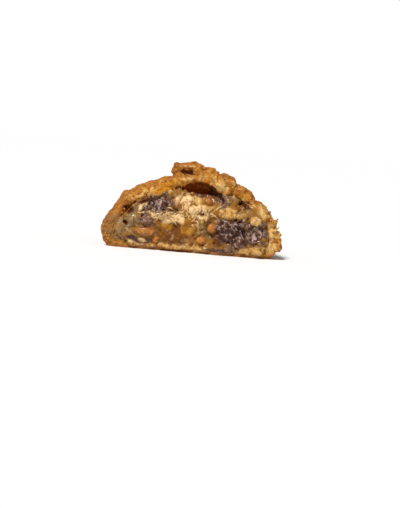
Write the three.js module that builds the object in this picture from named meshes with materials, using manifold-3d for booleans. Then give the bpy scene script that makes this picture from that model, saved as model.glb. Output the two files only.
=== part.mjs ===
// Half of a thick coconut cookie, broken across the middle so that its soft centre shows.
// A baked dough shell with a craggy crust holds a soft, underbaked centre, nut pieces and lumps of chocolate.
// Millimetres, +Z up. The flat base lies on Z = 0, the break faces -Y and the back of the crust faces +Y.

import * as THREE from "three";
import { ImprovedNoise } from "three/addons/math/ImprovedNoise.js";
import { mergeVertices } from "three/addons/utils/BufferGeometryUtils.js";
import Module from "manifold-3d";

// Driving dimensions. A side's profile runs from the top down to the base, as distance from the axis and
// height above the base.
const HALF_WIDTH = 45;
const HALF_DEPTH = 44;
const DOUGH_EYE = 12; // height of the point that the dough's directions are measured from
const DOUGH_LEFT = [
  [0, 40.4], [13, 37.2], [22, 34.4], [31, 30], [36.6, 26], [43.2, 15.5], [45.5, 8], [44.6, 3.6], [43, 0],
];
const DOUGH_RIGHT = [
  [0, 40.4], [9, 41.3], [16.3, 39.3], [25.8, 33.6], [35, 25.6], [41.2, 18.4], [45.2, 8], [44.4, 3.6], [39.4, 0],
];
const CENTRE_EYE = 13;
const CENTRE_LEFT = [[0, 30.5], [10, 29.6], [20, 26.6], [29, 21.5], [34.5, 15.5], [36, 9], [33, 3], [28, 0]];
const CENTRE_RIGHT = [[0, 30.5], [12, 29.4], [23, 27.6], [31, 22.5], [36, 15.5], [37, 9], [34, 3], [29, 0]];
const CENTRE_DEPTH = 33;
const BASE_THICKNESS = 1.9; // dough under the soft centre
const GAP = 0.3; // between neighbouring pieces
const SEAT_GAP = 0.6; // around a nut or a lump of chocolate, whose seat is rougher than the piece
const SMOOTHING = 0.06; // corners that change a surface by less than this are left out

// Blocks that cut the food are larger than it.
const CUT_WIDTH = 112;
const CUT_DEPTH = 62;
const CUT_HEIGHT = 70;
const CUT_MIDDLE = 24; // height of a block's middle

// How finely each surface is split.
const DOUGH_DETAIL = 19;
const CENTRE_DETAIL = 9;
const POCKET_DETAIL = 5;
const SEAT_DETAIL = 3;
const BREAK_CELL = 1.85;
const PROFILE_SAMPLES = 240;

// Solids are joined and cut with manifold-3d.
const wasm = await Module();
wasm.setup();

// One closed surface with shared corners, each moved to where place() puts it.
function shaped(geometry, place) {
  geometry.deleteAttribute("normal");
  geometry.deleteAttribute("uv");
  const merged = mergeVertices(geometry);
  const position = merged.getAttribute("position");
  const point = new THREE.Vector3();
  for (let i = 0; i < position.count; i++) {
    place(point.fromBufferAttribute(position, i));
    position.setXYZ(i, point.x, point.y, point.z);
  }
  return merged;
}

function solidOf(geometry) {
  const vertProperties = new Float32Array(geometry.getAttribute("position").array);
  const triVerts = new Uint32Array(geometry.index.array);
  return new wasm.Manifold(new wasm.Mesh({ numProp: 3, vertProperties, triVerts }));
}

function meshOf(solid, name, material) {
  const { vertProperties, triVerts } = solid.getMesh();
  const geometry = new THREE.BufferGeometry();
  geometry.setAttribute("position", new THREE.BufferAttribute(vertProperties, 3));
  geometry.setIndex(new THREE.BufferAttribute(triVerts, 1));
  geometry.computeVertexNormals();
  const mesh = new THREE.Mesh(geometry, material);
  mesh.name = name;
  return mesh;
}

// The largest body without its needless corners, so that a scrap left by a cut is dropped.
function mainBody(solid) {
  const bodies = solid.asOriginal().simplify(SMOOTHING).decompose();
  return bodies.reduce((best, body) => (body.volume() > best.volume() ? body : best));
}

// Uneven food: smooth noise of a given grain in millimetres, about -1 to 1.
const improvedNoise = new ImprovedNoise();
function uneven(point, grain, seed) {
  return improvedNoise.noise(point.x / grain + seed, point.y / grain + seed / 3, point.z / grain - seed);
}

// A soft hill of height 1 over an ellipse of the break, turned by an angle.
function hill(x, z, { at, size, turn = 0 }) {
  const cos = Math.cos(THREE.MathUtils.degToRad(turn));
  const sin = Math.sin(THREE.MathUtils.degToRad(turn));
  const along = ((x - at[0]) * cos + (z - at[1]) * sin) / size[0];
  const across = ((z - at[1]) * cos - (x - at[0]) * sin) / size[1];
  return Math.exp(-(along ** 2) - across ** 2);
}

// Turns in the plane of the break are about this axis, which points out of the half.
const OUT_OF_BREAK = new THREE.Vector3(0, -1, 0);

// Domes: the dough and its soft centre are lumps with a left and a right profile, round at the back.

// How far a profile lies from the eye, for an angle measured from straight up.
function profileReach(profile, eye) {
  const outline = new THREE.SplineCurve(profile.map(([out, up]) => new THREE.Vector2(out, up - eye)));
  const samples = outline.getSpacedPoints(PROFILE_SAMPLES);
  const angles = samples.map((p) => Math.atan2(p.x, p.y));
  return (angle) => {
    const next = angles.findIndex((a) => a >= angle);
    if (next <= 0) return samples[next === 0 ? 0 : PROFILE_SAMPLES].length();
    const share = (angle - angles[next - 1]) / (angles[next] - angles[next - 1]);
    return THREE.MathUtils.lerp(samples[next - 1].length(), samples[next].length(), share);
  };
}

function dome({ left, right, depth, eye, detail, relief, grow = 0 }) {
  const leftReach = profileReach(left, eye);
  const rightReach = profileReach(right, eye);
  const direction = new THREE.Vector3();
  const lump = shaped(new THREE.IcosahedronGeometry(1, detail), (point) => {
    direction.copy(point);
    const angle = Math.acos(THREE.MathUtils.clamp(point.z, -1, 1));
    const rightShare = (1 + Math.cos(Math.atan2(point.y, point.x))) / 2;
    point.multiplyScalar(THREE.MathUtils.lerp(leftReach(angle), rightReach(angle), rightShare));
    point.y *= depth / HALF_WIDTH;
    point.z += eye;
    point.addScaledVector(direction, relief(point) + grow);
  });
  return solidOf(lump);
}

// Crust: lumps, crags and cracks of the baked outside.
const CRUST_LUMPS = { grain: 13, height: 1.1, seed: 3.7 };
const CRUST_CRAGS = { grain: 5, height: 0.95, seed: 8.1 };
const CRACKS = { grain: 17, depth: 1.9, width: 0.085, seed: 5.2 };
const CRUST_FORMS = [
  { name: "peak", at: [2, 3, 42], size: [9, 10, 8], height: 1.7 },
  { name: "notch in the right shoulder", at: [21.8, 0, 36], size: [2.4, 6, 3], height: -4.2 },
  { name: "shoulder below the notch", at: [27, 0, 33.5], size: [4, 9, 4], height: 1.1 },
  { name: "corner of the left shoulder", at: [-36, 2, 27], size: [3, 7, 3], height: 1.2 },
  { name: "dent in the right side", at: [43, 0, 16], size: [4, 6, 2.6], height: -2 },
];

// A soft hill on the crust.
function crustForm(point, { at, size, height }) {
  const across = ((point.x - at[0]) / size[0]) ** 2 + ((point.y - at[1]) / size[1]) ** 2;
  return height * Math.exp(-across - ((point.z - at[2]) / size[2]) ** 2);
}

function crustRelief(point) {
  const lumps = CRUST_LUMPS.height * uneven(point, CRUST_LUMPS.grain, CRUST_LUMPS.seed);
  const crags = CRUST_CRAGS.height * uneven(point, CRUST_CRAGS.grain, CRUST_CRAGS.seed);
  const fromCrack = Math.abs(uneven(point, CRACKS.grain, CRACKS.seed)) / CRACKS.width;
  const crack = -CRACKS.depth * Math.exp(-(fromCrack ** 2));
  const forms = CRUST_FORMS.reduce((sum, form) => sum + crustForm(point, form), 0);
  return lumps + crags + crack + forms;
}

const doughForm = {
  left: DOUGH_LEFT, right: DOUGH_RIGHT, depth: HALF_DEPTH, eye: DOUGH_EYE, detail: DOUGH_DETAIL,
  relief: crustRelief,
};

// Lifted plate: the crust cracked at the peak, and the plate right of the crack stands over the left one.
const PLATE = { edge: -11.8, bend: 0.016, height: 7, right: 12, back: 17 };
const PLATE_EDGE = { grain: 5, depth: 2.2, seed: 61 };

// Where the crack runs: back from the break, bending to the right.
function crackAt(y) {
  return PLATE.edge + PLATE.bend * Math.max(y, 0) ** 2;
}

// Highest along the crack, lower to the right and to the back.
function plateRise(point) {
  const along = Math.max(point.x - crackAt(point.y), 0) / PLATE.right;
  const behind = Math.max(point.y, 0) / PLATE.back;
  return PLATE.height * Math.exp(-(along ** 2) - behind ** 2);
}

function liftedPlate() {
  const raised = dome({ ...doughForm, relief: (point) => crustRelief(point) + plateRise(point) });
  const columns = Math.round(CUT_WIDTH / BREAK_CELL);
  const rows = Math.round(CUT_HEIGHT / BREAK_CELL);
  const box = new THREE.BoxGeometry(CUT_WIDTH, CUT_WIDTH, CUT_HEIGHT, 1, columns, rows);
  const leftOfCrack = shaped(box, (point) => {
    const ragged = point.x > 0;
    point.x += crackAt(point.y) - CUT_WIDTH / 2;
    point.z += CUT_MIDDLE;
    if (ragged) point.x += PLATE_EDGE.depth * uneven(point, PLATE_EDGE.grain, PLATE_EDGE.seed);
  });
  return raised.subtract(solidOf(leftOfCrack));
}

// Break: a rough torn surface. A depth is how far the tear reaches back, into the half.
const TEAR = { coarse: 10, coarseDepth: 2.4, fine: 3.9, fineDepth: 1.5, seed: 11.3 };
const DOUGH_TEARS = [
  { name: "crease under the peak's flake", at: [-2.8, 39.2], size: [4, 1.5], turn: 8, depth: 3.2 },
  { name: "lump that hangs over the air pocket", at: [13, 33.6], size: [4.6, 2.4], turn: -20, depth: -3 },
  { name: "lip of crumb over the air pocket", at: [0.5, 36.8], size: [6, 1.2], turn: 4, depth: -1.6 },
  { name: "hole in the left crumb", at: [-31.5, 19.2], size: [2.1, 1.8], depth: 5 },
  { name: "slit under the left crust", at: [-28, 22.6], size: [3.6, 1.2], turn: 22, depth: 3 },
  { name: "pit in the left crumb", at: [-33.6, 12.4], size: [1.5, 1.1], turn: -35, depth: 2.4 },
  { name: "pit by the left edge", at: [-41.5, 4.2], size: [1.2, 1.4], depth: 1.8 },
  { name: "hollow under the right crust", at: [21, 28.6], size: [7.5, 1.8], turn: -24, depth: 2.6 },
  { name: "crumb that stands out at the right", at: [33.5, 20], size: [2.4, 2.6], depth: -1.6 },
];
const CENTRE_TEARS = [
  { name: "swell of the soft middle", at: [-6, 15], size: [24, 11], depth: -2.2 },
  { name: "swell at the right", at: [22, 13], size: [10, 7], depth: -1.2 },
  { name: "dip in the toffee", at: [-8.5, 12], size: [2.2, 3], turn: 15, depth: 2 },
  { name: "gap under the square nut", at: [10, 10.4], size: [2.6, 1], depth: 2.6 },
  { name: "hollow under the right crust", at: [23, 26], size: [9, 3], turn: -28, depth: 3 },
  { name: "floor of the air pocket falls back", at: [1, 30], size: [12, 2.4], depth: 3 },
];
const EDGE = { start: 0.87, end: 1.02, depth: 3 }; // the crust crumbled away along the edge of the break
const CELL_SHIFT = 0.32; // share of a cell by which the grid is made irregular

// How far the break falls back at its edge, from the share of the way out to the crust.
const leftCrust = profileReach(DOUGH_LEFT, DOUGH_EYE);
const rightCrust = profileReach(DOUGH_RIGHT, DOUGH_EYE);
function edgeFall(x, z) {
  const crustReach = x < 0 ? leftCrust : rightCrust;
  const share = Math.hypot(x, z - DOUGH_EYE) / crustReach(Math.atan2(Math.abs(x), z - DOUGH_EYE));
  return EDGE.depth * THREE.MathUtils.smoothstep(share, EDGE.start, EDGE.end);
}

// Everything in front of the tear.
function tornCutter(tears, fall, seed) {
  const columns = Math.round(CUT_WIDTH / BREAK_CELL);
  const rows = Math.round(CUT_HEIGHT / BREAK_CELL);
  const box = new THREE.BoxGeometry(CUT_WIDTH, CUT_DEPTH, CUT_HEIGHT, columns, 1, rows);
  const flat = new THREE.Vector3();
  const cutter = shaped(box, (point) => {
    const torn = point.y > 0;
    point.y -= CUT_DEPTH / 2;
    point.z += CUT_MIDDLE;
    if (!torn) return;
    flat.set(point.x, 0, point.z);
    point.x += CELL_SHIFT * BREAK_CELL * 2 * uneven(flat, BREAK_CELL * 1.7, seed + 20);
    point.z += CELL_SHIFT * BREAK_CELL * 2 * uneven(flat, BREAK_CELL * 1.7, seed + 40);
    point.y = tearDepth(point.x, point.z, tears, seed) + fall(point.x, point.z);
  });
  return solidOf(cutter);
}

function tearDepth(x, z, tears, seed) {
  const flat = new THREE.Vector3(x, 0, z);
  const coarse = TEAR.coarseDepth * uneven(flat, TEAR.coarse, seed);
  const fine = TEAR.fineDepth * uneven(flat, TEAR.fine, seed + 7);
  return tears.reduce((depth, tear) => depth + tear.depth * hill(x, z, tear), coarse + fine);
}

// Edge between the dough and its soft centre: uneven all round and along the floor.
const CENTRE_EDGE = { grain: 7.5, height: 1.3, seed: 17.9 };
const FLOOR_CELL = 6;

function centreRelief(point) {
  return CENTRE_EDGE.height * uneven(point, CENTRE_EDGE.grain, CENTRE_EDGE.seed);
}

// Everything below the uneven floor of the soft centre.
function belowFloor(height) {
  const cells = Math.round(CUT_WIDTH / FLOOR_CELL);
  const slab = new THREE.BoxGeometry(CUT_WIDTH, CUT_WIDTH, CUT_HEIGHT, cells, cells, 1);
  const floor = shaped(slab, (point) => {
    const top = point.z > 0;
    point.z = top ? height : height - CUT_HEIGHT;
    point.z += top ? 0.6 * centreRelief(point) : 0;
  });
  return solidOf(floor);
}

// Air pocket: a ragged arched hollow between the crust and the sunken soft centre, lower at its right end.
const POCKET = [
  { middle: [2.4, 1.5, 32.1], radii: [9.4, 11, 3.5], arch: 0.016 },
  { middle: [-5.6, 0.5, 30.9], radii: [4.6, 6, 1.5], arch: 0 },
  { middle: [10.8, 0.5, 29.6], radii: [3, 6, 2.4], arch: 0 },
];
const POCKET_WALL = { grain: 3.6, height: 1, seed: 31 };

function airPocket() {
  const hollows = POCKET.map(({ middle, radii, arch }) => {
    const direction = new THREE.Vector3();
    const hollow = shaped(new THREE.IcosahedronGeometry(1, POCKET_DETAIL), (point) => {
      direction.copy(point);
      point.set(point.x * radii[0], point.y * radii[1], point.z * radii[2]);
      point.z -= arch * point.x ** 2;
      point.add(new THREE.Vector3(...middle));
      const wobble = uneven(point, POCKET_WALL.grain, POCKET_WALL.seed);
      point.addScaledVector(direction, POCKET_WALL.height * wobble);
    });
    return solidOf(hollow);
  });
  return wasm.Manifold.union(hollows);
}

// Nuts: whole and broken pieces seated in the break. A piece's place on the break is at, its half sizes are
// across, into the food and up, and proud is how far it stands out. A split nut is flat on top, and pointed.
const NUTS = [
  {
    name: "nut_half", at: [-22.9, 9.8], half: [6.6, 3.6, 3.2], turn: 2, proud: 1.5, detail: 3,
    flatTop: 0.2, pointed: 0.4,
  },
  { name: "nut_square", at: [9.7, 13.4], half: [2.3, 2.4, 2.3], turn: 8, proud: 1.3, detail: 2 },
  { name: "nut_round", at: [5, 6.8], half: [2.2, 2.2, 1.9], turn: 20, proud: 1.2, detail: 2 },
  { name: "nut_chip_top", at: [6.9, 26.2], half: [1.6, 1.8, 1.5], turn: -30, proud: 1, detail: 2 },
  { name: "nut_chip_low", at: [-17.6, 5.4], half: [1.7, 1.8, 1.4], turn: 30, proud: 1, detail: 2 },
];
const NUT_LUMPS = { grain: 3, height: 0.28, seed: 71 };

function nutPiece(nut, detail = nut.detail, grow = 0) {
  const [across, deep, up] = nut.half;
  const { flatTop = 1, pointed = 0 } = nut;
  const middle = new THREE.Vector3(nut.at[0], 0, nut.at[1]);
  middle.y = tearDepth(...nut.at, CENTRE_TEARS, TEAR.seed) + deep - nut.proud;
  const turn = THREE.MathUtils.degToRad(nut.turn);
  const direction = new THREE.Vector3();
  const piece = shaped(new THREE.IcosahedronGeometry(1, detail), (point) => {
    direction.copy(point);
    const slim = 1 - pointed * point.x ** 2;
    point.set(point.x * across, point.y * deep * slim, Math.min(point.z, flatTop) * up * slim);
    const bump = NUT_LUMPS.height * uneven(middle.clone().add(point), NUT_LUMPS.grain, NUT_LUMPS.seed);
    point.addScaledVector(direction, bump + grow);
    point.applyAxisAngle(OUT_OF_BREAK, turn).add(middle);
  });
  return solidOf(piece);
}

// Chocolate: lumps that melted and tore with the dough, so that their fronts follow the break.
const CHOCOLATES = [
  { name: "chocolate_upper_left", at: [-18, 22.4], half: [6.8, 4, 2.9], turn: 20, proud: 0.9, detail: 3 },
  { name: "chocolate_left", at: [-22.4, 14.6], half: [2.7, 3, 1.9], turn: -40, proud: 0.7, detail: 3 },
  { name: "chocolate_right", at: [19, 13.2], half: [7.2, 5, 5.8], turn: 20, proud: 1, detail: 4 },
  { name: "chocolate_far_right", at: [30.6, 12.6], half: [3.9, 4, 5], turn: 25, proud: 0.9, detail: 3 },
  { name: "chocolate_by_pocket", at: [13, 26.6], half: [2.4, 2.6, 1.8], turn: -35, proud: 0.5, detail: 2 },
];
const CHOCOLATE_LUMPS = { grain: 3.2, height: 0.6, seed: 51 };
const CHOCOLATE_LOBES = { grain: 0.8, height: 0.42, seed: 57 }; // on the unit ball, so that none is an egg

function chocolateLump(lump, detail = lump.detail, grow = 0) {
  const [across, deep, up] = lump.half;
  const turn = THREE.MathUtils.degToRad(lump.turn);
  const direction = new THREE.Vector3();
  const piece = shaped(new THREE.IcosahedronGeometry(1, detail), (point) => {
    direction.copy(point).applyAxisAngle(OUT_OF_BREAK, turn);
    const behindBreak = point.y * (point.y < 0 ? lump.proud : deep);
    const { grain, height, seed } = CHOCOLATE_LOBES;
    const lobe = 1 + height * uneven(point, grain, seed + across);
    point.set(point.x * across * lobe, 0, point.z * up * lobe).applyAxisAngle(OUT_OF_BREAK, turn);
    point.x += lump.at[0];
    point.z += lump.at[1];
    point.y = tearDepth(point.x, point.z, CENTRE_TEARS, TEAR.seed) + behindBreak;
    const bump = CHOCOLATE_LUMPS.height * uneven(point, CHOCOLATE_LUMPS.grain, CHOCOLATE_LUMPS.seed);
    point.addScaledVector(direction, bump + grow);
  });
  return solidOf(piece);
}

// Coconut shreds: thin pointed strips that stick out of the torn crumb at the right edge.
const SHRED = { length: 4.4, width: 2, tip: 0.7, thickness: 1.1, bow: 0.4, segments: 3 };
const SHREDS = [
  { at: [40.6, 3, 19.2], lean: [0.5, -0.5, 0.75] },
  { at: [41, 2.8, 15.4], lean: [0.7, -0.45, 0.6] },
  { at: [42.2, 3, 12], lean: [0.85, -0.35, 0.35] },
  { at: [40, 1.6, 14.4], lean: [0.5, -0.75, 0.3] },
  { at: [41.4, 1.6, 9.6], lean: [0.6, -0.75, -0.15] },
  { at: [-39.6, 1.6, 9.6], lean: [-0.5, -0.75, 0.35] },
];

// A strip along a direction that narrows to its far end and bows towards the viewer of the break.
function shred({ at, lean }) {
  const along = new THREE.Vector3(...lean).normalize();
  const outwards = new THREE.Vector3(0, -1, 0).projectOnPlane(along).normalize();
  const across = new THREE.Vector3().crossVectors(outwards, along);
  const frame = new THREE.Matrix4().makeBasis(along, across, outwards).setPosition(...at);
  const { length, width, tip, thickness, bow, segments } = SHRED;
  const strip = shaped(new THREE.BoxGeometry(length, 1, thickness, segments, 1, 1), (point) => {
    const share = point.x / length + 0.5;
    point.y *= THREE.MathUtils.lerp(width, tip, share);
    point.z = point.z * (1 - share / 2) + bow * (1 - (2 * share - 1) ** 2);
    point.applyMatrix4(frame);
  });
  return solidOf(strip);
}

// Everything below a height.
function below(height) {
  const slab = new THREE.BoxGeometry(CUT_WIDTH, CUT_WIDTH, CUT_HEIGHT);
  return solidOf(shaped(slab, (point) => (point.z += height - CUT_HEIGHT / 2)));
}

// Assembly.
const crust = new THREE.MeshStandardMaterial({ color: 0xc08436, roughness: 0.85, metalness: 0 });
const toffee = new THREE.MeshStandardMaterial({ color: 0xa87638, roughness: 0.4, metalness: 0 });
const nutBrown = new THREE.MeshStandardMaterial({ color: 0xb8752f, roughness: 0.6, metalness: 0 });
const chocolate = new THREE.MeshStandardMaterial({ color: 0x43302a, roughness: 0.35, metalness: 0 });

const centreForm = {
  left: CENTRE_LEFT, right: CENTRE_RIGHT, depth: CENTRE_DEPTH, eye: CENTRE_EYE, detail: CENTRE_DETAIL,
  relief: centreRelief,
};
const pocket = airPocket();
const nutSeats = NUTS.map((nut) => nutPiece(nut, SEAT_DETAIL, SEAT_GAP));
const chocolateSeats = CHOCOLATES.map((lump) => chocolateLump(lump, SEAT_DETAIL, SEAT_GAP));
const seats = wasm.Manifold.union([...nutSeats, ...chocolateSeats]);

function doughShell() {
  const whole = dome(doughForm).add(liftedPlate());
  const broken = whole.subtract(tornCutter(DOUGH_TEARS, edgeFall, TEAR.seed)).subtract(below(0));
  const centreRoom = dome({ ...centreForm, grow: GAP }).subtract(belowFloor(BASE_THICKNESS));
  const shell = mainBody(broken.subtract(centreRoom).subtract(pocket).subtract(seats));
  return wasm.Manifold.union([shell, ...SHREDS.map(shred)]);
}

function softCentre() {
  const whole = dome(centreForm).subtract(belowFloor(BASE_THICKNESS + GAP));
  const torn = whole.subtract(tornCutter(CENTRE_TEARS, () => 0, TEAR.seed));
  return mainBody(torn.subtract(pocket).subtract(seats));
}

const pieces = new THREE.Group();
pieces.add(meshOf(doughShell(), "dough_shell", crust));
pieces.add(meshOf(softCentre(), "soft_centre", toffee));
NUTS.forEach((nut) => pieces.add(meshOf(nutPiece(nut), nut.name, nutBrown)));
CHOCOLATES.forEach((lump) => pieces.add(meshOf(chocolateLump(lump), lump.name, chocolate)));

// The origin is under the middle of the half cookie.
const box = new THREE.Box3().setFromObject(pieces);
const middle = box.getCenter(new THREE.Vector3());
pieces.position.set(-middle.x, -middle.y, -box.min.z);

const halfCookie = new THREE.Group();
halfCookie.add(pieces);
export default halfCookie;
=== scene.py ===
import math

import bpy
import numpy as np
from mathutils import Matrix, Vector, kdtree
from mathutils.bvhtree import BVHTree


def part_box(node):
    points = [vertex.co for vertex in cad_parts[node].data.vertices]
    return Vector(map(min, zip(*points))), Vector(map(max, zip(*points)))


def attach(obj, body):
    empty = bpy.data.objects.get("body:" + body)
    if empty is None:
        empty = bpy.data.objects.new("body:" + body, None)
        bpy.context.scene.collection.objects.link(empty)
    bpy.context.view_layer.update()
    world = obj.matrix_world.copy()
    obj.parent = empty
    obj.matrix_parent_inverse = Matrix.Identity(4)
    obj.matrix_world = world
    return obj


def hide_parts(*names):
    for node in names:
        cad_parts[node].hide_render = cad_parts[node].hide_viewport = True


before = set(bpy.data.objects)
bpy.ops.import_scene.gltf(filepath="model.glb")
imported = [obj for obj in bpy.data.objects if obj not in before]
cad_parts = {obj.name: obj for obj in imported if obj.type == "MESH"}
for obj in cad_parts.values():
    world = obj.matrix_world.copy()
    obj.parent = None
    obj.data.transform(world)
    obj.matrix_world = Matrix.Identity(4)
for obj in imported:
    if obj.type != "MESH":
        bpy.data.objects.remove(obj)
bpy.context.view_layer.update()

# Dough: one baked lump, golden and craggy outside, with a rim of dry crumb round a soft, sticky middle.
# The shell and the soft centre are the same dough, so one skin runs over both and changes grain and colour.
# The cookie was broken by hand, which tore the front open and left it knobbly.

MM = 0.001
DOUGH_VOXEL = 0.38 * MM
FACES_KEPT = 0.74  # the share left when what lies behind the break is thinned
SEAT_DIP = 0.7 * MM  # the dough falls back round a nut, which is left standing out
MELT_RISE = 0.9 * MM  # the dough pulled up with the chocolate that melted into it
CRUST_SINK = 0.5 * MM  # makes room for the lumps that are raised on the crust
CENTRE_SWELL = 0.6 * MM  # presses the soft centre against the shell, so that the two grow together
TEAR_SPAN = 8 * MM  # how far the tear wanders in depth
TEAR_RELIEF = 1.5 * MM  # how far its knobs stand out of the plane of the break
DEEPEST = 10 * MM  # under the crust, where the crumb no longer changes
EYE_HEIGHT = 12 * MM  # of the point in the break from which outwards is measured
REACH = 5 * MM  # gaps to other pieces are measured up to this
FRONT_FADE = (-12 * MM, -15 * MM)  # along Y, where the changes to the right edge set in
BACK_FADE = (-12 * MM, -6 * MM)  # along Y, where the thinning sets in
break_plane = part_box("dough_shell")[0][1] + TEAR_RELIEF
dough_eye = Vector((0, break_plane, EYE_HEIGHT))


def node_copy(node):
    """A copy of a CAD node with its loose triangles merged."""
    bpy.ops.object.select_all(action="DESELECT")
    copy = bpy.data.objects.new(node + "_fine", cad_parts[node].data.copy())
    bpy.context.collection.objects.link(copy)
    copy.select_set(True)
    bpy.context.view_layer.objects.active = copy
    bpy.ops.object.mode_set(mode="EDIT")
    bpy.ops.mesh.select_all(action="SELECT")
    bpy.ops.mesh.remove_doubles(threshold=0.001 * MM)
    bpy.ops.object.mode_set(mode="OBJECT")
    return copy


def shape(piece, kind, **settings):
    """Adds a modifier with these settings and applies it."""
    step = piece.modifiers.new(kind.lower(), kind)
    for setting, value in settings.items():
        setattr(step, setting, value)
    bpy.context.view_layer.objects.active = piece
    bpy.ops.object.modifier_apply(modifier=step.name)


def refine(piece, voxel):
    """Gives the piece a fine, even skin that can carry crumb and crags."""
    shape(piece, "REMESH", mode="VOXEL", voxel_size=voxel)
    bpy.ops.object.select_all(action="DESELECT")
    piece.select_set(True)
    bpy.ops.object.shade_smooth()


def skin(piece):
    """The places and outward directions of a piece's points."""
    count = len(piece.data.vertices)
    places = np.empty(count * 3, np.float32)
    outward = np.empty(count * 3, np.float32)
    piece.data.vertices.foreach_get("co", places)
    piece.data.vertex_normals.foreach_get("vector", outward)
    return places.reshape(-1, 3).astype(float), outward.reshape(-1, 3).astype(float)


def ease(values, low, high):
    """0 below low, 1 above high and smooth between; falls instead of rising if low is above high."""
    share = np.clip((values - low) / (high - low), 0, 1)
    return share * share * (3 - 2 * share)


def dabs(places, *spots):
    """Soft spots on the break, each a place, half sizes and a turn, in millimetres and degrees."""
    cover = np.zeros(len(places))
    for across, up, half_across, half_up, turn in spots:
        beside = places[:, 0] / MM - across
        above = places[:, 2] / MM - up
        cosine = math.cos(math.radians(turn))
        sine = math.sin(math.radians(turn))
        along = (beside * cosine + above * sine) / half_across
        over = (above * cosine - beside * sine) / half_up
        cover = np.maximum(cover, np.exp(-(along**2) - over**2))
    return cover


def gap_to(places, node):
    """How far each place is from a CAD node's skin, up to the reach."""
    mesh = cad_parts[node].data
    tree = BVHTree.FromPolygons([v.co for v in mesh.vertices], [f.vertices for f in mesh.polygons])
    found = [tree.find_nearest(place, REACH)[3] for place in places]
    return np.array([REACH if gap is None else gap for gap in found])


def paint(piece, name, values):
    """Stores a mask on the piece's points, for its material."""
    layer = piece.data.attributes.new(name, "FLOAT", "POINT")
    layer.data.foreach_set("value", np.asarray(values, np.float32))


def area(piece, name, weights, steps=40):
    """A vertex group with soft edges, so that one grain fades out where another begins."""
    group = piece.vertex_groups.new(name=name)
    levels = np.round(np.clip(weights, 0, 1) * steps).astype(int)
    for level in range(1, steps + 1):
        group.add(np.nonzero(levels == level)[0].tolist(), level / steps, "REPLACE")
    return group.name


def roughen(piece, where, size, height, depth=1, way="NORMAL"):
    """Raises and sinks an area of the skin in soft waves of that size and height."""
    waves = bpy.data.textures.new(piece.name + " waves", "CLOUDS")
    waves.noise_scale = size
    waves.noise_depth = depth
    settings = {"texture": waves, "texture_coords": "LOCAL", "vertex_group": where, "direction": way}
    shape(piece, "DISPLACE", strength=height, **settings)


LUMP_STRETCH = (1, 2.2)  # how much longer than broad a lump may be
BEND_WAVES = 16  # waves that bend the lumps out of their plain round form
BEND_PACE = 1.8  # how fast they swing, in radians over the largest lump's radius
BEND_DEPTH = 0.08  # how far each one bends, against that radius


def lumps(piece, weights, spacing, sizes, rise, edge, seed):
    """Raises uneven lumps of mixed sizes out of part of the skin, and gives each point its lump's tone.

    The lower the edge, the more steeply a lump stands out of the skin at its foot.
    """
    draw = np.random.default_rng(seed)
    places, outward = skin(piece)
    swing = places @ draw.normal(size=(3, BEND_WAVES)) * BEND_PACE / sizes[1]
    waves = np.sin(swing + draw.uniform(0, 2 * math.pi, BEND_WAVES))
    bends = waves @ draw.normal(size=(BEND_WAVES, 3)) * BEND_DEPTH * sizes[1]
    finder = kdtree.KDTree(len(places))
    for number, place in enumerate(places):
        finder.insert(place, number)
    finder.balance()
    room = sum(face.area for face in piece.data.polygons) / len(places)
    amount = int(weights.sum() * room / spacing**2)
    heights = np.zeros(len(places))
    highest = np.zeros(len(places))
    tones = np.full(len(places), 0.5)
    for start in draw.choice(len(places), amount, p=weights / weights.sum()):
        radius = draw.uniform(*sizes)
        stretch = draw.uniform(*LUMP_STRETCH)
        tone = draw.random()
        along = draw.normal(size=3)
        along /= np.linalg.norm(along)
        near = np.array([found[1] for found in finder.find_range(places[start], radius * stretch)])
        offsets = places[near] - places[start] + bends[near]
        apart = (offsets**2).sum(axis=1) - (offsets @ along) ** 2 * (1 - 1 / stretch**2)
        rises = radius * rise * np.clip(1 - apart / radius**2, 0, 1) ** edge * weights[near]
        heights[near] += rises**3
        higher = rises > highest[near]
        highest[near[higher]] = rises[higher]
        tones[near[higher]] = tone
    heights = np.cbrt(heights)
    group = area(piece, "lumps", heights / heights.max(), steps=250)
    shape(piece, "DISPLACE", vertex_group=group, strength=heights.max(), mid_level=0)
    return tones


def hollows(piece, rounds, deep):
    """How far each point lies under its surroundings: 1 in a pit that deep, 0 on the level, -1 on a tip."""
    places, outward = skin(piece)
    ends = np.empty(len(piece.data.edges) * 2, np.int32)
    piece.data.edges.foreach_get("vertices", ends)
    first, second = ends.reshape(-1, 2).T
    links = np.bincount(ends, minlength=len(places))[:, None]
    level = places.copy()
    for _ in range(rounds):
        total = np.empty_like(level)
        for axis in range(3):
            total[:, axis] = np.bincount(first, level[second, axis], len(level))
            total[:, axis] += np.bincount(second, level[first, axis], len(level))
        level = total / np.maximum(links, 1)
    return np.clip(((level - places) * outward).sum(axis=1) / deep, -1, 1)


NUTS = ("nut_half", "nut_square", "nut_round", "nut_chip_top", "nut_chip_low")
CHOCOLATES = (
    "chocolate_upper_left",
    "chocolate_left",
    "chocolate_right",
    "chocolate_far_right",
    "chocolate_by_pocket",
)

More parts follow.
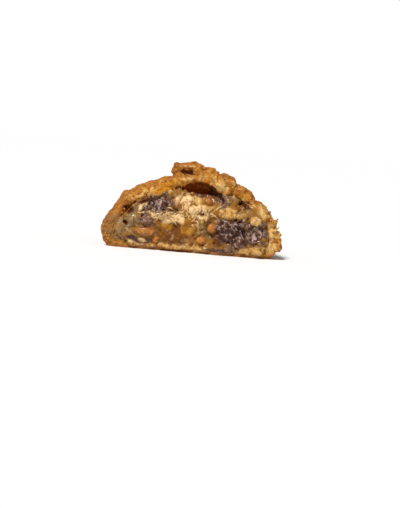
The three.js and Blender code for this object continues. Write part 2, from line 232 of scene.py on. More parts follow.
# Where the break is smooth, crumbly, smeared, pitted or worn, as dabs.
TOFFEE_POOLS = [(-8.5, 10, 11.5, 6, 0), (-1.5, 16.5, 5, 3, 20), (12, 6.8, 4, 3, -20)]
CRUMBLY = [
    (17.5, 21.5, 8, 3.2, -12),
    (4, 25, 7, 3, 0),
    (30.5, 18, 2.6, 2.4, 0),
    (-6, 2.6, 11, 1.8, 0),
    (-38.5, 9.5, 3.5, 6, 10),
]
SMEARS = [
    (24.5, 11.8, 16, 7.5, 0),
    (-22, 14.8, 4.6, 2.4, -30),
    (-29, 5.4, 4, 1.5, -15),
    (-21.5, 4.4, 4.5, 1.4, 10),
    (-16, 23.4, 7, 2.4, 18),
    (14.5, 2.2, 7, 1.4, 0),
    (12.6, 28, 4, 2, -30),
    (2.5, 29.4, 5, 1.3, -8),
]
AMBER_STRIPS = [(-16.5, 30.2, 7.5, 2.2, 28)]
DULL_SIDE = [(-34, 11, 6, 8, 10), (-29, 17, 4, 5, 30), (-36.5, 5, 6, 3.5, 0)]
PITS = [(-31.8, 19, 2.5, 2.1, 0), (-33, 12.4, 1.3, 0.8, -35)]
CREVICE = (-26, 23, 3.4, 0.8, 22)
PIT_DEPTH = 2.2 * MM
AIR_POCKET = (4.5, 31, 11, 5, -5)
POCKET_FADE = (-4 * MM, -8 * MM)  # along Y, where its lining sets in
WORN_TIPS = [(42, 20.5, 2.2, 1.6, 0), (43.4, 16, 1.8, 1.3, 0)]  # crumbs at the right edge, rubbed down
TEETH = (43, 13.5, 2.5, 3, 0)  # crumbs that still stand out there
TOOTH_SWELL = 0.4 * MM
NOTCHES = [(41.3, 17.8, 2.4, 2.4, 0), (42, 13.6, 1.6, 0.9, 0)]  # where the edge is filled out
NOTCH_FILL = 1.3 * MM

# The smallest and largest radius of each kind of lump.
CRUST_LUMPS = (0.8 * MM, 1.8 * MM)
KNOBS = (1.2 * MM, 3.0 * MM)
RIM_CRUMB = (0.8 * MM, 1.9 * MM)
FINE_CRUMB = (0.6 * MM, 1.1 * MM)

dough = node_copy("soft_centre")
shape(dough, "DISPLACE", strength=CENTRE_SWELL, mid_level=0)
shell = node_copy("dough_shell")
dough.select_set(True)
bpy.ops.object.join()
dough = shell
dough.name = "dough"
refine(dough, DOUGH_VOXEL)

# The right edge of the break: two tips rubbed down, a row of crumbs swollen and the notches filled out.
places = skin(dough)[0]
at_front = ease(places[:, 1], *FRONT_FADE)
worn_area = area(dough, "worn", at_front * ease(dabs(places, *WORN_TIPS), 0.1, 0.4))
tooth_area = area(dough, "teeth", at_front * ease(dabs(places, TEETH), 0.1, 0.4))
shape(dough, "SMOOTH", vertex_group=worn_area, factor=0.5, iterations=80)
shape(dough, "DISPLACE", vertex_group=tooth_area, strength=TOOTH_SWELL, mid_level=0)
notch_area = area(dough, "notches", at_front * dabs(places, *NOTCHES))
shape(dough, "DISPLACE", vertex_group=notch_area, strength=NOTCH_FILL, mid_level=0, direction="X")

# What each point of the skin is, as shares: torn, underside, crust, hollow, moist, smooth and so on.
places, outward = skin(dough)
from_eye = places - np.array(dough_eye)
faces_out = (outward * from_eye).sum(axis=1) / np.linalg.norm(from_eye, axis=1)
in_tear = ease(places[:, 1], break_plane + 1.3 * TEAR_SPAN, break_plane + 0.8 * TEAR_SPAN)
torn = ease(-outward[:, 1], 0.25, 0.55) * in_tear
underside = ease(-outward[:, 2], 0.7, 0.95) * ease(places[:, 2], 1.2 * MM, 0.4 * MM)
outside = places[(faces_out > 0.3) & (torn + underside < 0.2)]
crust_tree = kdtree.KDTree(len(outside))
for number, place in enumerate(outside):
    crust_tree.insert(place, number)
crust_tree.balance()
inside = np.array([crust_tree.find(place)[2] for place in places]) / DEEPEST
crusted = np.maximum(ease(faces_out, 0.05, 0.35), ease(inside, 0.35, 0.2))
crusted = crusted * (1 - torn) * (1 - underside)
inner = (1 - torn) * (1 - underside) * (1 - crusted)
moist = torn * ease(gap_to(places, "soft_centre"), 1.9 * MM, 0.5 * MM)
moist *= 1 - dabs(places, *AMBER_STRIPS)
smooth = np.maximum(dabs(places, *TOFFEE_POOLS), 0.6 * dabs(places, *SMEARS))
smooth = np.maximum(smooth, 0.3 * dabs(places, *DULL_SIDE))
pits = np.maximum(dabs(places, *PITS), 0.3 * dabs(places, CREVICE))
grainy = dabs(places, *CRUMBLY)
beside = np.max([ease(gap_to(places, node), 3.5 * MM, 1 * MM) for node in NUTS], axis=0)
off_base = ease(places[:, 2], 0.4 * MM, 2.5 * MM)
melted = np.max([ease(gap_to(places, node), 4 * MM, 0.5 * MM) for node in CHOCOLATES], axis=0)
melted = torn * melted

# The relief, from broad waves through lumps to the finest grain.
crust_area = area(dough, "crust", crusted * off_base)
torn_area = area(dough, "torn", torn * off_base * (1 - 0.7 * beside))
soft_area = area(dough, "soft", torn * np.clip(0.3 + moist - grainy, 0, 1))
edge_area = area(dough, "edge", 4 * torn * (1 - torn))
seat_area = area(dough, "seats", torn * beside)
melted_area = area(dough, "melted", melted * off_base * (1 - beside))
inner_area = area(dough, "hollow", inner)
under_area = area(dough, "underside", underside)
roughen(dough, crust_area, size=7 * MM, height=0.9 * MM)
roughen(dough, torn_area, size=6 * MM, height=2.4 * MM, depth=2, way="Y")
roughen(dough, inner_area, size=3 * MM, height=1.0 * MM, depth=2)
roughen(dough, under_area, size=2.5 * MM, height=0.3 * MM)
shape(dough, "DISPLACE", vertex_group=crust_area, strength=-CRUST_SINK, mid_level=0)
shape(dough, "DISPLACE", vertex_group=seat_area, strength=SEAT_DIP, mid_level=0, direction="Y")
shape(dough, "DISPLACE", vertex_group=melted_area, strength=-MELT_RISE, mid_level=0, direction="Y")
roughen(dough, melted_area, size=3 * MM, height=3.0 * MM, way="Y")
open_torn = torn * off_base * (1 - beside) * (1 - pits)
crust_room = crusted * off_base
knob_room = open_torn * (1 - 0.9 * smooth) * moist
rim_room = open_torn * (1 - 0.6 * smooth) * (1 - moist) * ease(inside, 0.0, 0.25)
grain_room = open_torn * np.clip(0.6 * (1 - moist) + grainy, 0, 1)
crust_tone = lumps(dough, crust_room, spacing=1.5 * MM, sizes=CRUST_LUMPS, rise=0.26, edge=0.7, seed=3)
knob_tone = lumps(dough, knob_room, spacing=2.0 * MM, sizes=KNOBS, rise=0.7, edge=1.0, seed=65)
rim_tone = lumps(dough, rim_room, spacing=1.5 * MM, sizes=RIM_CRUMB, rise=0.55, edge=0.8, seed=6)
grain_tone = lumps(dough, grain_room, spacing=1.1 * MM, sizes=FINE_CRUMB, rise=0.5, edge=0.6, seed=7)
roughen(dough, crust_area, size=1.0 * MM, height=0.45 * MM)
roughen(dough, torn_area, size=1.4 * MM, height=0.4 * MM)
pit_area = area(dough, "pits", pits * torn)
shape(dough, "DISPLACE", vertex_group=pit_area, strength=PIT_DEPTH, mid_level=0, direction="Y")
shape(dough, "SMOOTH", vertex_group=soft_area, factor=0.5, iterations=2)
shape(dough, "SMOOTH", vertex_group=edge_area, factor=0.5, iterations=6)

# The shares and the colour spots are kept on the skin, where the material finds them.
dough_places, dough_outward = skin(dough)
paint(dough, "torn_share", torn)
paint(dough, "inside", inside)
pocket = dabs(dough_places, AIR_POCKET)
in_pocket = ease(pocket, 0.1, 0.4) * ease(dough_places[:, 1], *POCKET_FADE) * (1 - torn)
paint(dough, "lining", np.maximum(inner, in_pocket))
paint(dough, "below", underside)
paint(dough, "foot", torn * ease(dough_places[:, 2], 3.2 * MM, 0.4 * MM))
paint(dough, "moist", moist)
paint(dough, "crust_tone", crust_tone)
paint(dough, "knob_tone", np.clip(knob_tone + rim_tone + 0.6 * grain_tone - 0.8, 0, 1))
paint(dough, "sunk", hollows(dough, rounds=14, deep=0.6 * MM))

# Where the colour of the dough changes, and where shade and highlights are painted into it, as dabs.
PALE_LIPS = [
    (-4.5, 36.3, 5, 0.9, 12),
    (-4.5, 42.4, 5, 0.9, 0),
    (13, 34, 4.5, 2, -22),
    (40, 15, 4, 7, 0),
    (40, 6, 5, 5, 0),
    (34, 22.5, 4, 2.5, -50),
    (-21, 29, 7, 1.9, 22),
    (20, 35.5, 3, 1.4, -30),
]
CARAMEL_SPOTS = [
    (-8.3, 10, 2.2, 5, -5),
    (-9, 7, 6.5, 3.2, 0),
    (13.2, 7.2, 3.6, 3, -20),
    (3.7, 20.4, 2, 1.3, 0),
]
# Pale moist crumb with painted highlights, in rows.
CREAM_AND_HIGHLIGHT_ROWS = [
    (-13, 17.3, 8, 2.5, -6),
    (2, 21, 4.5, 3, 0),
    (-24, 20.5, 4, 2, 20),
    (-5.5, 25.6, 4.5, 2, 10),
]
# Pale spots on the lower left smear: cream dough, partly painted highlights.
MILKY_AND_HIGHLIGHT_SPOTS = [(-24.5, 4.6, 2.4, 0.8, -15), (-30, 3.6, 1.6, 0.6, 10)]
SHADED = [(25, 25.5, 4, 1.2, -28), (-24, 24, 6, 1.2, 24), (-5, 39.4, 4.4, 1.9, -6)]
COCOA_WALL = (10.5, 29.8, 5, 3.4, -15)
TANNED_SIDE = (-43, 11, 5, 12, 0)
TAN_FADE = (-8 * MM, -15 * MM)  # along Y, where the tan sets in
GOLDEN_BITS = [(30.5, 18.4, 2.6, 2, 0), (33, 4.6, 3, 1.6, 0)]
CRUMBLY_FOOT = (32, 4, 10, 2, 10)
SMEAR_END = (39.5 * MM, 36 * MM)  # along X, short of the right rim
paint(dough, "amber", dabs(dough_places, *AMBER_STRIPS))
paint(dough, "pale", dabs(dough_places, *PALE_LIPS))
paint(dough, "dull", dabs(dough_places, *DULL_SIDE))
# Painted shade in the holes of the crumb.
paint(dough, "pit", torn * dabs(dough_places, *PITS))
paint(dough, "toffee", dabs(dough_places, *TOFFEE_POOLS))
paint(dough, "caramel", dabs(dough_places, *CARAMEL_SPOTS))
paint(dough, "cream", dabs(dough_places, *CREAM_AND_HIGHLIGHT_ROWS))
paint(dough, "milky_and_highlight", dabs(dough_places, *MILKY_AND_HIGHLIGHT_SPOTS))
paint(dough, "grainy", dabs(dough_places, *CRUMBLY, CRUMBLY_FOOT))
smeared = np.maximum(dabs(dough_places, *SMEARS), 0.4 * melted)
paint(dough, "smear", smeared * ease(dough_places[:, 0], *SMEAR_END))
paint(dough, "shaded", dabs(dough_places, *SHADED, CREVICE))
paint(dough, "tanned", dabs(dough_places, TANNED_SIDE) * ease(dough_places[:, 1], *TAN_FADE))
paint(dough, "pocket", pocket)
paint(dough, "cocoa", dabs(dough_places, COCOA_WALL))
paint(dough, "golden_bit", dabs(dough_places, *GOLDEN_BITS))
back_area = area(dough, "back", ease(dough_places[:, 1], *BACK_FADE))
shape(dough, "DECIMATE", ratio=FACES_KEPT, vertex_group=back_area)


class Socket:
    """A value in a material, with arithmetic that adds Math nodes."""

    def __init__(self, finish, socket):
        self.finish = finish
        self.socket = socket

    def math(self, operation, first, second):
        return self.finish.node("ShaderNodeMath", {"operation": operation}, {0: first, 1: second})

    def __add__(self, other):
        return self.math("ADD", self, other)

    def __sub__(self, other):
        return self.math("SUBTRACT", self, other)

    def __rsub__(self, other):
        return self.math("SUBTRACT", other, self)

    def __mul__(self, other):
        return self.math("MULTIPLY", self, other)

    __radd__ = __add__
    __rmul__ = __mul__


MIX_FIRST, MIX_SECOND, MIX_RESULT = 6, 7, 2  # a Mix node's colour sockets, whose names others share
NOISE_ROUGHNESS = 0.6


class Finish:
    """The nodes of a material, on Object coordinates and the piece's own masks, or of the surround."""

    def __init__(self, owner):
        self.owner = owner
        self.owner.use_nodes = True
        self.tree = self.owner.node_tree
        self.tree.nodes.clear()

    def node(self, kind, settings, values, output=0):
        """Any node, by its settings, the values or links of its sockets, and the output wanted."""
        node = self.tree.nodes.new(kind)
        for setting, value in settings.items():
            setattr(node, setting, value)
        for name, value in values.items():
            if isinstance(value, Socket):
                self.tree.links.new(value.socket, node.inputs[name])
            else:
                node.inputs[name].default_value = value
        return Socket(self, node.outputs[output]) if node.outputs else None

    def mask(self, name):
        """A share that was painted on the piece."""
        return self.node("ShaderNodeAttribute", {"attribute_name": name}, {}, "Fac")

    def noise(self, size, detail=2.0, twist=0.0):
        """Soft blotches of about that size, from 0 to 1."""
        place = self.node("ShaderNodeTexCoord", {}, {}, "Object")
        values = {"Vector": place, "Scale": 1 / size, "Detail": detail, "Distortion": twist}
        values["Roughness"] = NOISE_ROUGHNESS
        return self.node("ShaderNodeTexNoise", {}, values, "Fac")

    def step(self, value, low, high):
        """What ease() does, in a material."""
        values = {"Value": value, "From Min": low, "From Max": high}
        return self.node("ShaderNodeMapRange", {"interpolation_type": "SMOOTHSTEP"}, values)

    def blend(self, share, first, second, way="MIX"):
        """The first colour, with a share of the second mixed in."""
        settings = {"data_type": "RGBA", "blend_type": way}
        values = {"Factor": share, MIX_FIRST: first, MIX_SECOND: second}
        return self.node("ShaderNodeMix", settings, values, MIX_RESULT)

    def darken(self, share, colour, shade):
        """The colour, with a share of it shaded."""
        return self.blend(share, colour, shade, "MULTIPLY")

    def close(self, colour, roughness, relief, height, looks):
        """Ends the material: its surface, with a fine relief of that height."""
        bump = self.node("ShaderNodeBump", {}, {"Height": relief, "Distance": height, "Strength": 1.0})
        values = {"Base Color": colour, "Roughness": roughness, "Normal": bump, **looks}
        shader = self.node("ShaderNodeBsdfPrincipled", {}, values)
        self.node("ShaderNodeOutputMaterial", {"target": "ALL"}, {"Surface": shader})
        return self.owner


def tint(red, green, blue):
    """A colour as a photograph shows it, 0 to 255, made linear for a material."""
    shares = [channel / 255 for channel in (red, green, blue)]
    linear = [share / 12.92 if share < 0.04045 else ((share + 0.055) / 1.055) ** 2.4 for share in shares]
    return (*linear, 1.0)


BAKED = tint(192, 128, 56)
GOLDEN = tint(176, 116, 46)
TOASTED = tint(160, 96, 36)
CRUST_EDGE = tint(178, 112, 40)
FOOT_CRUST = tint(142, 92, 42)
TANNED = tint(140, 96, 54)
SUGARY = tint(220, 166, 88)
PALE_CRUMB = tint(212, 166, 94)
LIGHT_CRUMB = tint(220, 178, 108)
YELLOW_CRUMB = tint(192, 132, 42)
SUNNY = tint(208, 146, 52)
AMBER = tint(190, 124, 12)
MOIST_CRUMB = tint(180, 130, 60)
DULL_DOUGH = tint(128, 100, 64)
LINING = tint(194, 112, 44)
CREVICE_DOUGH = tint(140, 100, 50)
# The dark brown painted into the holes of the crumb as shade.
PIT_SHADE = tint(84, 36, 8)
SHADE = tint(120, 72, 36)
GRAIN_SHADE = tint(200, 174, 144)
STICKY = tint(138, 92, 36)
OLIVE_DOUGH = tint(156, 118, 60)
TOFFEE = tint(170, 112, 28)
CARAMEL = tint(104, 58, 14)
CREAM = tint(232, 196, 140)
DARK_CHOCOLATE = tint(60, 26, 10)
WORN_CHOCOLATE = tint(116, 80, 56)
PAINTED_LILAC_GLINT = tint(184, 156, 144)


def baked_dough():
    """Crust, dry rim, moist centre and smears in one material, told apart by the dough's masks, with
    painted shade in creases and holes and painted highlights on the moist centre.
    """
    finish = Finish(bpy.data.materials.new("baked dough"))
    patches = finish.noise(8 * MM)
    wander = finish.noise(4.5 * MM, 2.0) - 0.5
    mottle = finish.noise(2.6 * MM, 1.0) - 0.5
    speckle = finish.noise(1.1 * MM, 1.0) - 0.5
    fine = finish.noise(0.6 * MM, 1.0) - 0.5
    sunk = finish.mask("sunk")
    tone = finish.mask("knob_tone") - 0.5
    ragged = 0.8 * wander + 1.4 * mottle + 0.4 * speckle + 0.4 * tone

    def spot(name, low=0.25, high=0.75):
        """A dabbed share, with its soft edge made ragged."""
        mask = finish.mask(name)
        return finish.step(mask + ragged, low, high) * finish.step(mask, 0.05, 0.3)

    browned = patches + 0.25 * finish.mask("crust_tone") + mottle + speckle - 0.3 * sunk
    crust = finish.blend(finish.step(browned, 0.5, 0.95), BAKED, TOASTED)
    crust = finish.blend(finish.step(sunk + mottle + speckle, 0.0, 0.5) * 0.7, crust, SUGARY)

    inside = finish.mask("inside") + 0.15 * ragged
    rim = finish.blend(finish.step(inside, 0.06, 0.24), CRUST_EDGE, GOLDEN)
    rim = finish.blend(finish.step(inside, 0.26, 0.4), rim, YELLOW_CRUMB)
    grain = mottle + 1.2 * speckle + 0.3 * tone
    rim = finish.blend(finish.step(grain, -0.05, 0.18) * finish.step(inside, 0.28, 0.42), rim, PALE_CRUMB)
    rim = finish.blend(finish.step(grain, -0.08, -0.28) * 0.8, rim, TOASTED)
    rim = finish.blend(finish.step(patches + mottle, 0.48, 0.7) * 0.65, rim, TOASTED)
    rim = finish.blend(finish.step(patches + mottle, 0.45, 0.2) * 0.5, rim, SUNNY)
    rim = finish.darken(finish.step(wander, 0.05, -0.15) * 0.6, rim, GRAIN_SHADE)
    rim = finish.blend(finish.step(inside, 0.65, 0.95), rim, MOIST_CRUMB)
    rim = finish.blend(spot("pale"), rim, LIGHT_CRUMB)
    rim = finish.blend(spot("amber", 0.15, 0.7) * 0.9, rim, AMBER)

    centre = finish.blend(finish.step(ragged, -0.2, 0.2), STICKY, OLIVE_DOUGH)
    centre = finish.blend(finish.step(tone + mottle, 0.15, 0.4) * 0.6, centre, CREAM)
    centre = finish.blend(spot("toffee"), centre, TOFFEE)
    centre = finish.blend(spot("grainy", 0.15, 0.6), centre, PALE_CRUMB)
    # Pale moist crumb with painted highlights, broken into flecks.
    flecks = finish.step(speckle + mottle + fine, -0.5, -0.1)
    centre = finish.blend(spot("cream", 0.0, 0.4) * flecks, centre, CREAM)
    centre = finish.blend(spot("caramel", 0.05, 0.55), centre, CARAMEL)

    torn = finish.blend(finish.step(finish.mask("moist") + ragged, 0.2, 0.8), rim, centre)
    torn = finish.blend(spot("dull", 0.2, 0.75) * 0.8, torn, DULL_DOUGH)
    smear = spot("smear", 0.2, 0.6)
    chocolate = finish.blend(finish.step(tone + mottle, -0.25, 0.4), DARK_CHOCOLATE, WORN_CHOCOLATE)
    torn = finish.blend(smear, torn, chocolate)
    # Pale spots on the smear, partly cream and partly painted highlights.
    torn = finish.blend(spot("milky_and_highlight") * 0.7, torn, CREAM)
    torn = finish.blend(spot("golden_bit"), torn, PALE_CRUMB)
    torn = finish.blend(spot("foot", 0.3, 0.9), torn, FOOT_CRUST)
    torn = finish.darken(finish.step(sunk + 0.4 * ragged, 0.1, 1.1), torn, SHADE)
    torn = finish.darken(spot("shaded"), torn, SHADE)
    # Painted highlights: pale spots on the moist dough, lilac-grey where it is smeared with chocolate.
    painted_glint = finish.step(finish.noise(2.6 * MM, 3.0), 0.56, 0.7) * finish.mask("moist")
    painted_glint = painted_glint * (1 - 0.8 * finish.mask("toffee"))
    torn = finish.blend(painted_glint * 0.55, torn, finish.blend(smear, CREAM, PAINTED_LILAC_GLINT))

    colour = finish.blend(finish.mask("torn_share"), crust, torn)
    colour = finish.blend(spot("tanned") * 0.65, colour, TANNED)
    lining = finish.blend(finish.step(finish.mask("pocket"), 0.1, 0.4), CREVICE_DOUGH, LINING)
    lining = finish.blend(spot("cocoa"), lining, WORN_CHOCOLATE)
    colour = finish.blend(finish.mask("lining"), colour, lining)
    colour = finish.blend(finish.mask("below") * 0.8, colour, TOASTED)
    # Painted shade: dark brown in the holes of the crumb.
    colour = finish.blend(spot("pit", 0.2, 0.6), colour, PIT_SHADE)
    dry = 1 - 0.75 * finish.mask("moist") * (1 - finish.mask("grainy"))
    colour = finish.darken(finish.step(fine, 0.1, -0.2) * dry * 0.6, colour, GRAIN_SHADE)
    wet = finish.mask("moist") * finish.step(wander + mottle + 0.5 * smear, -0.15, 0.2)
    wet = wet * (1 - 0.7 * finish.mask("toffee"))
    roughness = 0.65 - 0.2 * wet
    looks = {
        "Specular IOR Level": 0.12,
        "Coat Weight": 0.5 * wet,
        "Coat Roughness": 0.17,
        "Subsurface Weight": 0.08,
        "Subsurface Scale": 1.0 * MM,
    }
    return finish.close(colour, roughness, speckle + 0.7 * fine * dry, 0.25 * MM, looks)


dough.data.materials.clear()
dough.data.materials.append(baked_dough())
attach(dough, "root")
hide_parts("dough_shell", "soft_centre")

# Nuts: a split half, two small kernels and two chips, toasted in the dough and left whole by the break.
# Each sits in its own seat in the soft centre and stands a little out of the break.

NUT_VOXEL = 0.22 * MM
NUT_SWELL = 0.6 * MM  # fills the seat
NUT_SHOWN = 2.4 * MM  # how much of a nut stands out of the dough
NUT_FLESH = tint(194, 126, 42)
NUT_SKIN = tint(150, 84, 28)
NUT_SHADE = tint(150, 96, 56)


def toasted_nut():
    """Toasted flesh with a darker skin on top, and dough that sticks to its foot."""
    finish = Finish(bpy.data.materials.new("toasted nut"))
    grain = finish.noise(0.7 * MM, 3.0)
    patches = finish.noise(2.4 * MM)
    colour = finish.blend(finish.step(patches + 1.2 * grain, 0.9, 1.3), NUT_FLESH, NUT_SKIN)
    topped = finish.mask("top") + 0.4 * (patches - 0.5) + 0.4 * (grain - 0.5)
    colour = finish.blend(finish.step(topped, 0.7, 1.0), colour, NUT_SKIN)
    smeared = finish.mask("buried") + 0.8 * (patches - 0.5) + 0.8 * (grain - 0.5)
    colour = finish.blend(finish.step(smeared, 0.4, 0.8), colour, STICKY)
    colour = finish.darken(finish.step(finish.mask("sunk"), 0.1, 0.9), colour, NUT_SHADE)
    looks = {"Specular IOR Level": 0.3, "Coat Weight": 0.3, "Coat Roughness": 0.25}
    return finish.close(colour, 0.45 + 0.2 * grain, grain, 0.1 * MM, looks)


nut_finish = toasted_nut()
for node in NUTS:
    nut = node_copy(node)
    refine(nut, NUT_VOXEL)
    every = area(nut, "all", np.ones(len(nut.data.vertices)))
    shape(nut, "DISPLACE", strength=NUT_SWELL, mid_level=0)
    roughen(nut, every, size=2.4 * MM, height=0.6 * MM)
    roughen(nut, every, size=0.9 * MM, height=0.3 * MM)
    places = skin(nut)[0]
    low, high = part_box(node)
    paint(nut, "top", (places[:, 2] - low[2]) / (high[2] - low[2]))
    paint(nut, "buried", (places[:, 1] - places[:, 1].min()) / NUT_SHOWN)
    paint(nut, "sunk", hollows(nut, rounds=8, deep=0.2 * MM))
    nut.data.materials.clear()
    nut.data.materials.append(nut_finish)
    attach(nut, "root")
    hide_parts(node)

# Chocolate: dark lumps that melted in the oven and were pulled open by the break.
# They are smeared into the dough around them, with small lilac-grey highlights painted into their colour.

CHOCOLATE_VOXEL = 0.28 * MM
CHOCOLATE_FOLDS = (1.2 * MM, 3.4 * MM)  # the smallest and largest radius
DOUGH_STREAK = tint(150, 104, 56)


def melted_chocolate():
    """Dark chocolate, worn and streaked with dough, with painted glints and painted shade in its hollows.
    """
    finish = Finish(bpy.data.materials.new("melted chocolate"))
    wander = finish.noise(3 * MM, 2.0) - 0.5
    mottle = finish.noise(1.4 * MM, 2.0) - 0.5
    speckle = finish.noise(0.9 * MM, 1.0)
    tone = finish.mask("tone")
    colour = finish.blend(finish.step(tone + 2 * mottle, 0.5, 1.1), DARK_CHOCOLATE, WORN_CHOCOLATE)
    # Painted highlights: lilac-grey glints mixed into the colour.
    painted_glint = finish.step(finish.noise(2.4 * MM, 4.0, 1.5) + 0.6 * wander, 0.49, 0.68)
    colour = finish.blend(painted_glint * 0.9, colour, PAINTED_LILAC_GLINT)
    streaks = 0.5 * finish.mask("rim") + 2 * wander + 1.5 * mottle
    colour = finish.blend(finish.step(streaks, 0.5, 0.9), colour, DOUGH_STREAK)
    colour = finish.darken(finish.step(finish.mask("sunk"), 0.1, 0.9), colour, SHADE)
    looks = {"Specular IOR Level": 0.12, "Coat Weight": 0.25, "Coat Roughness": 0.18}
    return finish.close(colour, 0.4, speckle, 0.12 * MM, looks)


chocolate_finish = melted_chocolate()
for number, node in enumerate(CHOCOLATES):
    lump = node_copy(node)
    refine(lump, CHOCOLATE_VOXEL)
    places = skin(lump)[0]
    clear = np.min([ease(gap_to(places, nut), 0.5 * MM, 2.5 * MM) for nut in NUTS], axis=0)
    free = area(lump, "free", clear)
    roughen(lump, free, size=5 * MM, height=2.0 * MM)
    tone = lumps(lump, clear, spacing=2.4 * MM, sizes=CHOCOLATE_FOLDS, rise=0.5, edge=1.0, seed=20 + number)
    roughen(lump, free, size=1.1 * MM, height=0.5 * MM)
    places = skin(lump)[0]
    low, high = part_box(node)
    from_middle = (places - np.array((low + high) / 2)) / np.array((high - low) / 2)
    paint(lump, "rim", ease(np.hypot(from_middle[:, 0], from_middle[:, 2]), 0.5, 1.1))
    paint(lump, "tone", tone)
    paint(lump, "sunk", hollows(lump, rounds=8, deep=0.35 * MM))
    lump.data.materials.clear()
    lump.data.materials.append(chocolate_finish)
    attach(lump, "root")
    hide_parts(node)

# Coconut: thin dried shreds that were stirred into the dough and curled in the heat.
# They stand out of the moist middle of the break, cream-coloured and a little glossy.

SCATTER_SEED = 11  # for the shreds and then the crumbs
SHREDS = 60
SHRED_RINGS = 8
RING_CORNERS = 4
SHRED_TAPER = (0.2, 0.8)  # the part of a half wave that narrows both ends
SHRED_LENGTH = (2.5 * MM, 4.5 * MM)
SHRED_WIDTH = 0.8 * MM
SHRED_THICKNESS = 0.4 * MM
SHRED_TONES = (tint(206, 160, 96), tint(230, 196, 144))
SHRED_LIFT = 0.05 * MM  # off the dough
ON_EDGE = 0.7  # the share that stands on edge
CURL_ON_EDGE = (1.0, 3.4)  # how far a shred curls, in radians
CURL_FLAT = (0.5, 1.8)
CURLY_ROWS = [(-14.5, 18, 8, 2.2, 0), (3, 20.5, 7, 4, 0)]  # dabs where most shreds lie
STRAY = 0.004  # the chance of a shred elsewhere, against 1 in those rows


def curled_strip(place, forward, sideways, length, curl):
    """The corners of a thin strip that curls in one plane, ring by ring."""
    turns = np.linspace(-0.5, 0.5, SHRED_RINGS)[:, None] * curl
    radius = length / curl
    inward = np.cross(forward, sideways)
    spine = place + radius * (forward * np.sin(turns) + inward * (1 - np.cos(turns)))
    facing = inward * np.cos(turns) - forward * np.sin(turns)
    taper = np.sin(np.linspace(*SHRED_TAPER, SHRED_RINGS) * math.pi)[:, None]
    half_width = sideways * taper * SHRED_WIDTH / 2
    half_depth = facing * taper * SHRED_THICKNESS / 2
    above, below = half_depth, -half_depth
    corners = [half_width + above, above - half_width, below - half_width, half_width + below]
    return np.stack([spine + corner for corner in corners], axis=1).reshape(-1, 3)


def strip_faces():
    """The sides and two ends of a strip, as corner numbers."""
    sides = []
    last_ring = (SHRED_RINGS - 1) * RING_CORNERS
    for ring in range(0, last_ring, RING_CORNERS):
        following = ring + RING_CORNERS
        for corner in range(RING_CORNERS):
            beside = (corner + 1) % RING_CORNERS
            sides.append((ring + corner, ring + beside, following + beside, following + corner))
    first_end = tuple(reversed(range(RING_CORNERS)))
    last_end = tuple(range(last_ring, last_ring + RING_CORNERS))
    return sides + [first_end, last_end]


def joined(name, points, faces, tones):
    """One piece made of many small closed bits that share a form, each with its own tone."""
    mesh = bpy.data.meshes.new(name)
    size = len(points[0])
    numbered = [[corner + bit * size for corner in face] for bit in range(len(points)) for face in faces]
    mesh.from_pydata(np.concatenate(points).tolist(), [], numbered)
    piece = bpy.data.objects.new(name, mesh)
    bpy.context.collection.objects.link(piece)
    bpy.ops.object.select_all(action="DESELECT")
    piece.select_set(True)
    bpy.context.view_layer.objects.active = piece
    bpy.ops.object.mode_set(mode="EDIT")
    bpy.ops.mesh.select_all(action="SELECT")
    bpy.ops.mesh.normals_make_consistent(inside=False)
    bpy.ops.object.mode_set(mode="OBJECT")
    bpy.ops.object.shade_smooth()
    paint(piece, "tone", np.repeat(tones, size))
    return piece


def toned(name, dark, light, coat):
    """A plain food colour that differs from bit to bit."""
    finish = Finish(bpy.data.materials.new(name))
    grain = finish.noise(0.7 * MM, 2.0)
    colour = finish.blend(finish.mask("tone") + 0.6 * (grain - 0.5), dark, light)
    looks = {"Specular IOR Level": 0.3, "Coat Weight": coat, "Coat Roughness": 0.2}
    return finish.close(colour, 0.5 + 0.2 * grain, grain, 0.08 * MM, looks)


draw = np.random.default_rng(SCATTER_SEED)
chance = moist * (STRAY + dabs(dough_places, *CURLY_ROWS)) * (1 - beside) * (1 - pits)
chance = chance * ease(dough_places[:, 2], 1 * MM, 3 * MM)
strips = []
for spot in draw.choice(len(dough_places), SHREDS, p=chance / chance.sum()):
    out = dough_outward[spot]
    across = np.cross(out, draw.normal(size=3))
    across /= np.linalg.norm(across)
    on_edge = draw.random() < ON_EDGE
    sideways = out if on_edge else np.cross(out, across)
    curl = draw.uniform(*(CURL_ON_EDGE if on_edge else CURL_FLAT))
    length = draw.uniform(*SHRED_LENGTH)
    strips.append(curled_strip(dough_places[spot] + out * SHRED_LIFT, across, sideways, length, curl))
coconut = joined("coconut", strips, strip_faces(), draw.random(SHREDS))
coconut.data.materials.append(toned("coconut shred", *SHRED_TONES, coat=0.7))
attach(coconut, "root")

# Crumbs: dry bits that broke off along the torn rim and cling to it and to the crumbly parts of the break.
# They are irregular grains of the same dough, from golden to pale.

CRUMBS = 260
CRUMB_SIZE = (0.25 * MM, 0.6 * MM)
CRUMB_STRETCH = (0.7, 1.3)  # along each axis
CRUMB_DENTS = (0.75, 1.2)  # how far its corners stand from its middle, against its size
CRUMB_TONES = (tint(156, 94, 30), tint(198, 144, 70))

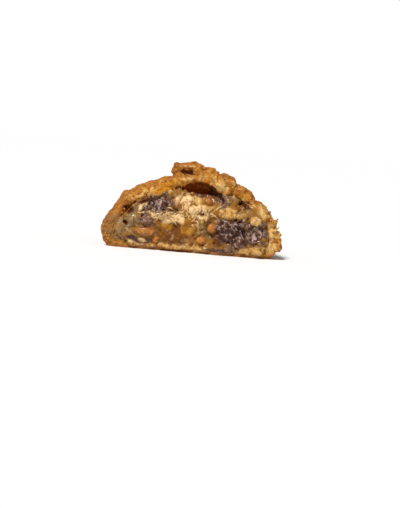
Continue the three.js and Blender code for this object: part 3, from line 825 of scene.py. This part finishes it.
bpy.ops.object.select_all(action="DESELECT")
bpy.ops.mesh.primitive_ico_sphere_add(subdivisions=2, radius=1)
pattern = bpy.context.object
grain_points = skin(pattern)[0]
grain_faces = [tuple(face.vertices) for face in pattern.data.polygons]
bpy.data.objects.remove(pattern)
rim_share = torn * ease(inside, 0.5, 0.15) * ease(inside, 0.0, 0.08)
clinging = rim_share * (1 - moist) + torn * dabs(dough_places, *CRUMBLY)
chance = clinging * (1 - beside) * (1 - dabs(dough_places, *SHADED))
chance = chance * ease(dough_places[:, 2], 1 * MM, 2 * MM)
grains = []
for spot in draw.choice(len(dough_places), CRUMBS, p=chance / chance.sum()):
    stretch = draw.uniform(*CRUMB_STRETCH, 3) * draw.uniform(*CRUMB_SIZE)
    dents = draw.uniform(*CRUMB_DENTS, (len(grain_points), 1))
    grains.append(dough_places[spot] + grain_points * dents * stretch)
crumbs = joined("crumbs", grains, grain_faces, draw.random(CRUMBS))
crumbs.data.materials.append(toned("dry crumb", *CRUMB_TONES, coat=0))
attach(crumbs, "root")

# Stage: a plain white floor, one broad soft light from the front left and an even white surround.
# The camera faces the break from a little above, and leans as the photograph does.

FLOOR_SIZE = 6.0
FLOOR_WHITE = (0.96, 0.96, 0.96, 1)
FLOOR_ROUGHNESS = 0.9
FLOOR_LOOKS = {"Specular IOR Level": 0.1}
bpy.ops.object.select_all(action="DESELECT")
bpy.ops.mesh.primitive_plane_add(size=FLOOR_SIZE, location=(0, 0, 0))
floor = bpy.context.object
floor.name = "floor"
floor_paint = Finish(bpy.data.materials.new("white floor"))
floor_grain = floor_paint.noise(20 * MM)
floor_finish = floor_paint.close(FLOOR_WHITE, FLOOR_ROUGHNESS, floor_grain, 0.01 * MM, FLOOR_LOOKS)
floor.data.materials.append(floor_finish)

SURROUND_LIGHT = 0.25  # what it gives the food
SURROUND_SEEN = 1.0  # as the camera sees it
surround = Finish(bpy.data.worlds.new("white surround"))
seen = surround.node("ShaderNodeLightPath", {}, {}, "Is Camera Ray")
strength = SURROUND_LIGHT + (SURROUND_SEEN - SURROUND_LIGHT) * seen
white = surround.node("ShaderNodeBackground", {}, {"Color": (1, 1, 1, 1), "Strength": strength})
surround.node("ShaderNodeOutputWorld", {}, {"Surface": white})
bpy.context.scene.world = surround.owner

KEY_TURN = 26  # degrees to the left of the camera
KEY_HEIGHT = 50  # degrees above the floor
KEY_STRENGTH = 3.35
KEY_SPREAD = 16  # degrees across, which softens its shadows
bpy.ops.object.light_add(type="SUN", location=(0, 0, 1))
key = bpy.context.object
key.rotation_euler = (math.radians(90 - KEY_HEIGHT), 0, math.radians(-KEY_TURN))
key.data.energy = KEY_STRENGTH
key.data.angle = math.radians(KEY_SPREAD)

PICTURE = (400, 508)  # pixels across and down
BREAK_WIDTH_PIXELS = 182.6
BREAK_WIDTH = 90 * MM
BASE_MIDDLE = (190.0, 253.2)  # where the photograph shows the middle of the break's lower edge
LEAN = 4.97  # degrees that the base drops to the right
DISTANCE = 600 * MM
ELEVATION = 6  # degrees
SENSOR_HEIGHT = 36  # in Blender's own millimetres
NEAREST = 10 * MM

pixel = BREAK_WIDTH / BREAK_WIDTH_PIXELS
right_of = (PICTURE[0] / 2 - BASE_MIDDLE[0]) * pixel
below = (PICTURE[1] / 2 - BASE_MIDDLE[1]) * pixel
lean = math.radians(LEAN)
aim = Vector((
    right_of * math.cos(lean) + below * math.sin(lean),
    break_plane,
    right_of * math.sin(lean) - below * math.cos(lean),
))
elevation = math.radians(ELEVATION)
bpy.ops.object.camera_add()
camera = bpy.context.object
away = Vector((0, -math.cos(elevation), math.sin(elevation)))
camera.matrix_world = (
    Matrix.Translation(aim + away * DISTANCE)
    @ (-away).to_track_quat("-Z", "Y").to_matrix().to_4x4()
    @ Matrix.Rotation(lean, 4, "Z")
)
camera.data.sensor_fit = "VERTICAL"
camera.data.sensor_height = SENSOR_HEIGHT
camera.data.lens = DISTANCE / pixel / PICTURE[1] * SENSOR_HEIGHT
camera.data.clip_start = NEAREST
bpy.context.scene.camera = camera
bpy.context.scene.view_settings.view_transform = "Standard"
